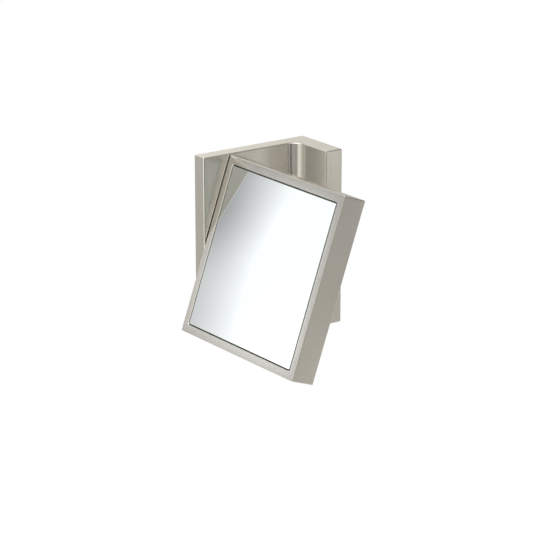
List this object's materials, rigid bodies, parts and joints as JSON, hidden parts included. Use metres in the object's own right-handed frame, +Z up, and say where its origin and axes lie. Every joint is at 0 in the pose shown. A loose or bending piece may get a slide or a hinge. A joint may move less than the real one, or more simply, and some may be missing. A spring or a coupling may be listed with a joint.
{
  "type": "shaving mirror",
  "caption": "Square wall-mounted shaving mirror in a deep brushed metal frame, tilting on a friction pivot at the end of an angle bracket.",
  "frame": {"origin": "middle of the flange's wall face, halfway between the two wall screws", "axes": "+Y into the wall, +Z up, +X to the right for someone facing the wall; the object stands out towards -Y"},
  "size_m": [0.198, 0.1563, 0.175],
  "materials": {
    "brushed_nickel": "brushed nickel, fine straight grain up and down",
    "zinc_steel": "zinc plated steel",
    "stainless": "turned stainless steel",
    "dark_steel": "black oxide steel",
    "bush_plastic": "moulded acetal",
    "black_rubber": "matt black sealing rubber",
    "silvered_glass": "silvered glass with a ground edge",
    "plain_aluminium": "mill finish",
    "foam_tape": "grey foam tape"
  },
  "bodies": {
    "bracket": {"wall_plate": "zinc_steel", "set_screws": "dark_steel", "bracket_shell": "brushed_nickel", "arm_cover": "brushed_nickel", "cover_screws": "stainless", "front_bush": "bush_plastic", "rear_bush": "bush_plastic"},
    "head": {"pivot_shaft": "stainless", "pivot_block": "zinc_steel", "shaft_pin": "stainless", "block_screws": "stainless", "thrust_washer": "stainless", "pressure_washer": "stainless", "disc_springs": "dark_steel", "lock_nut": "stainless", "mirror_frame": "brushed_nickel", "glass_gasket": "black_rubber", "mirror_glass": "silvered_glass", "adhesive_pads": "foam_tape", "carrier_plate": "plain_aluminium", "carrier_screws": "stainless", "back_cover": "brushed_nickel", "back_cover_screws": "stainless"}
  },
  "joints": [
    {"name": "head_tilt", "type": "hinge", "parent": "bracket", "child": "head", "pos_m": [0, -0.1155, 0], "axis": [-1, 0, 0], "continuous": true}
  ]
}
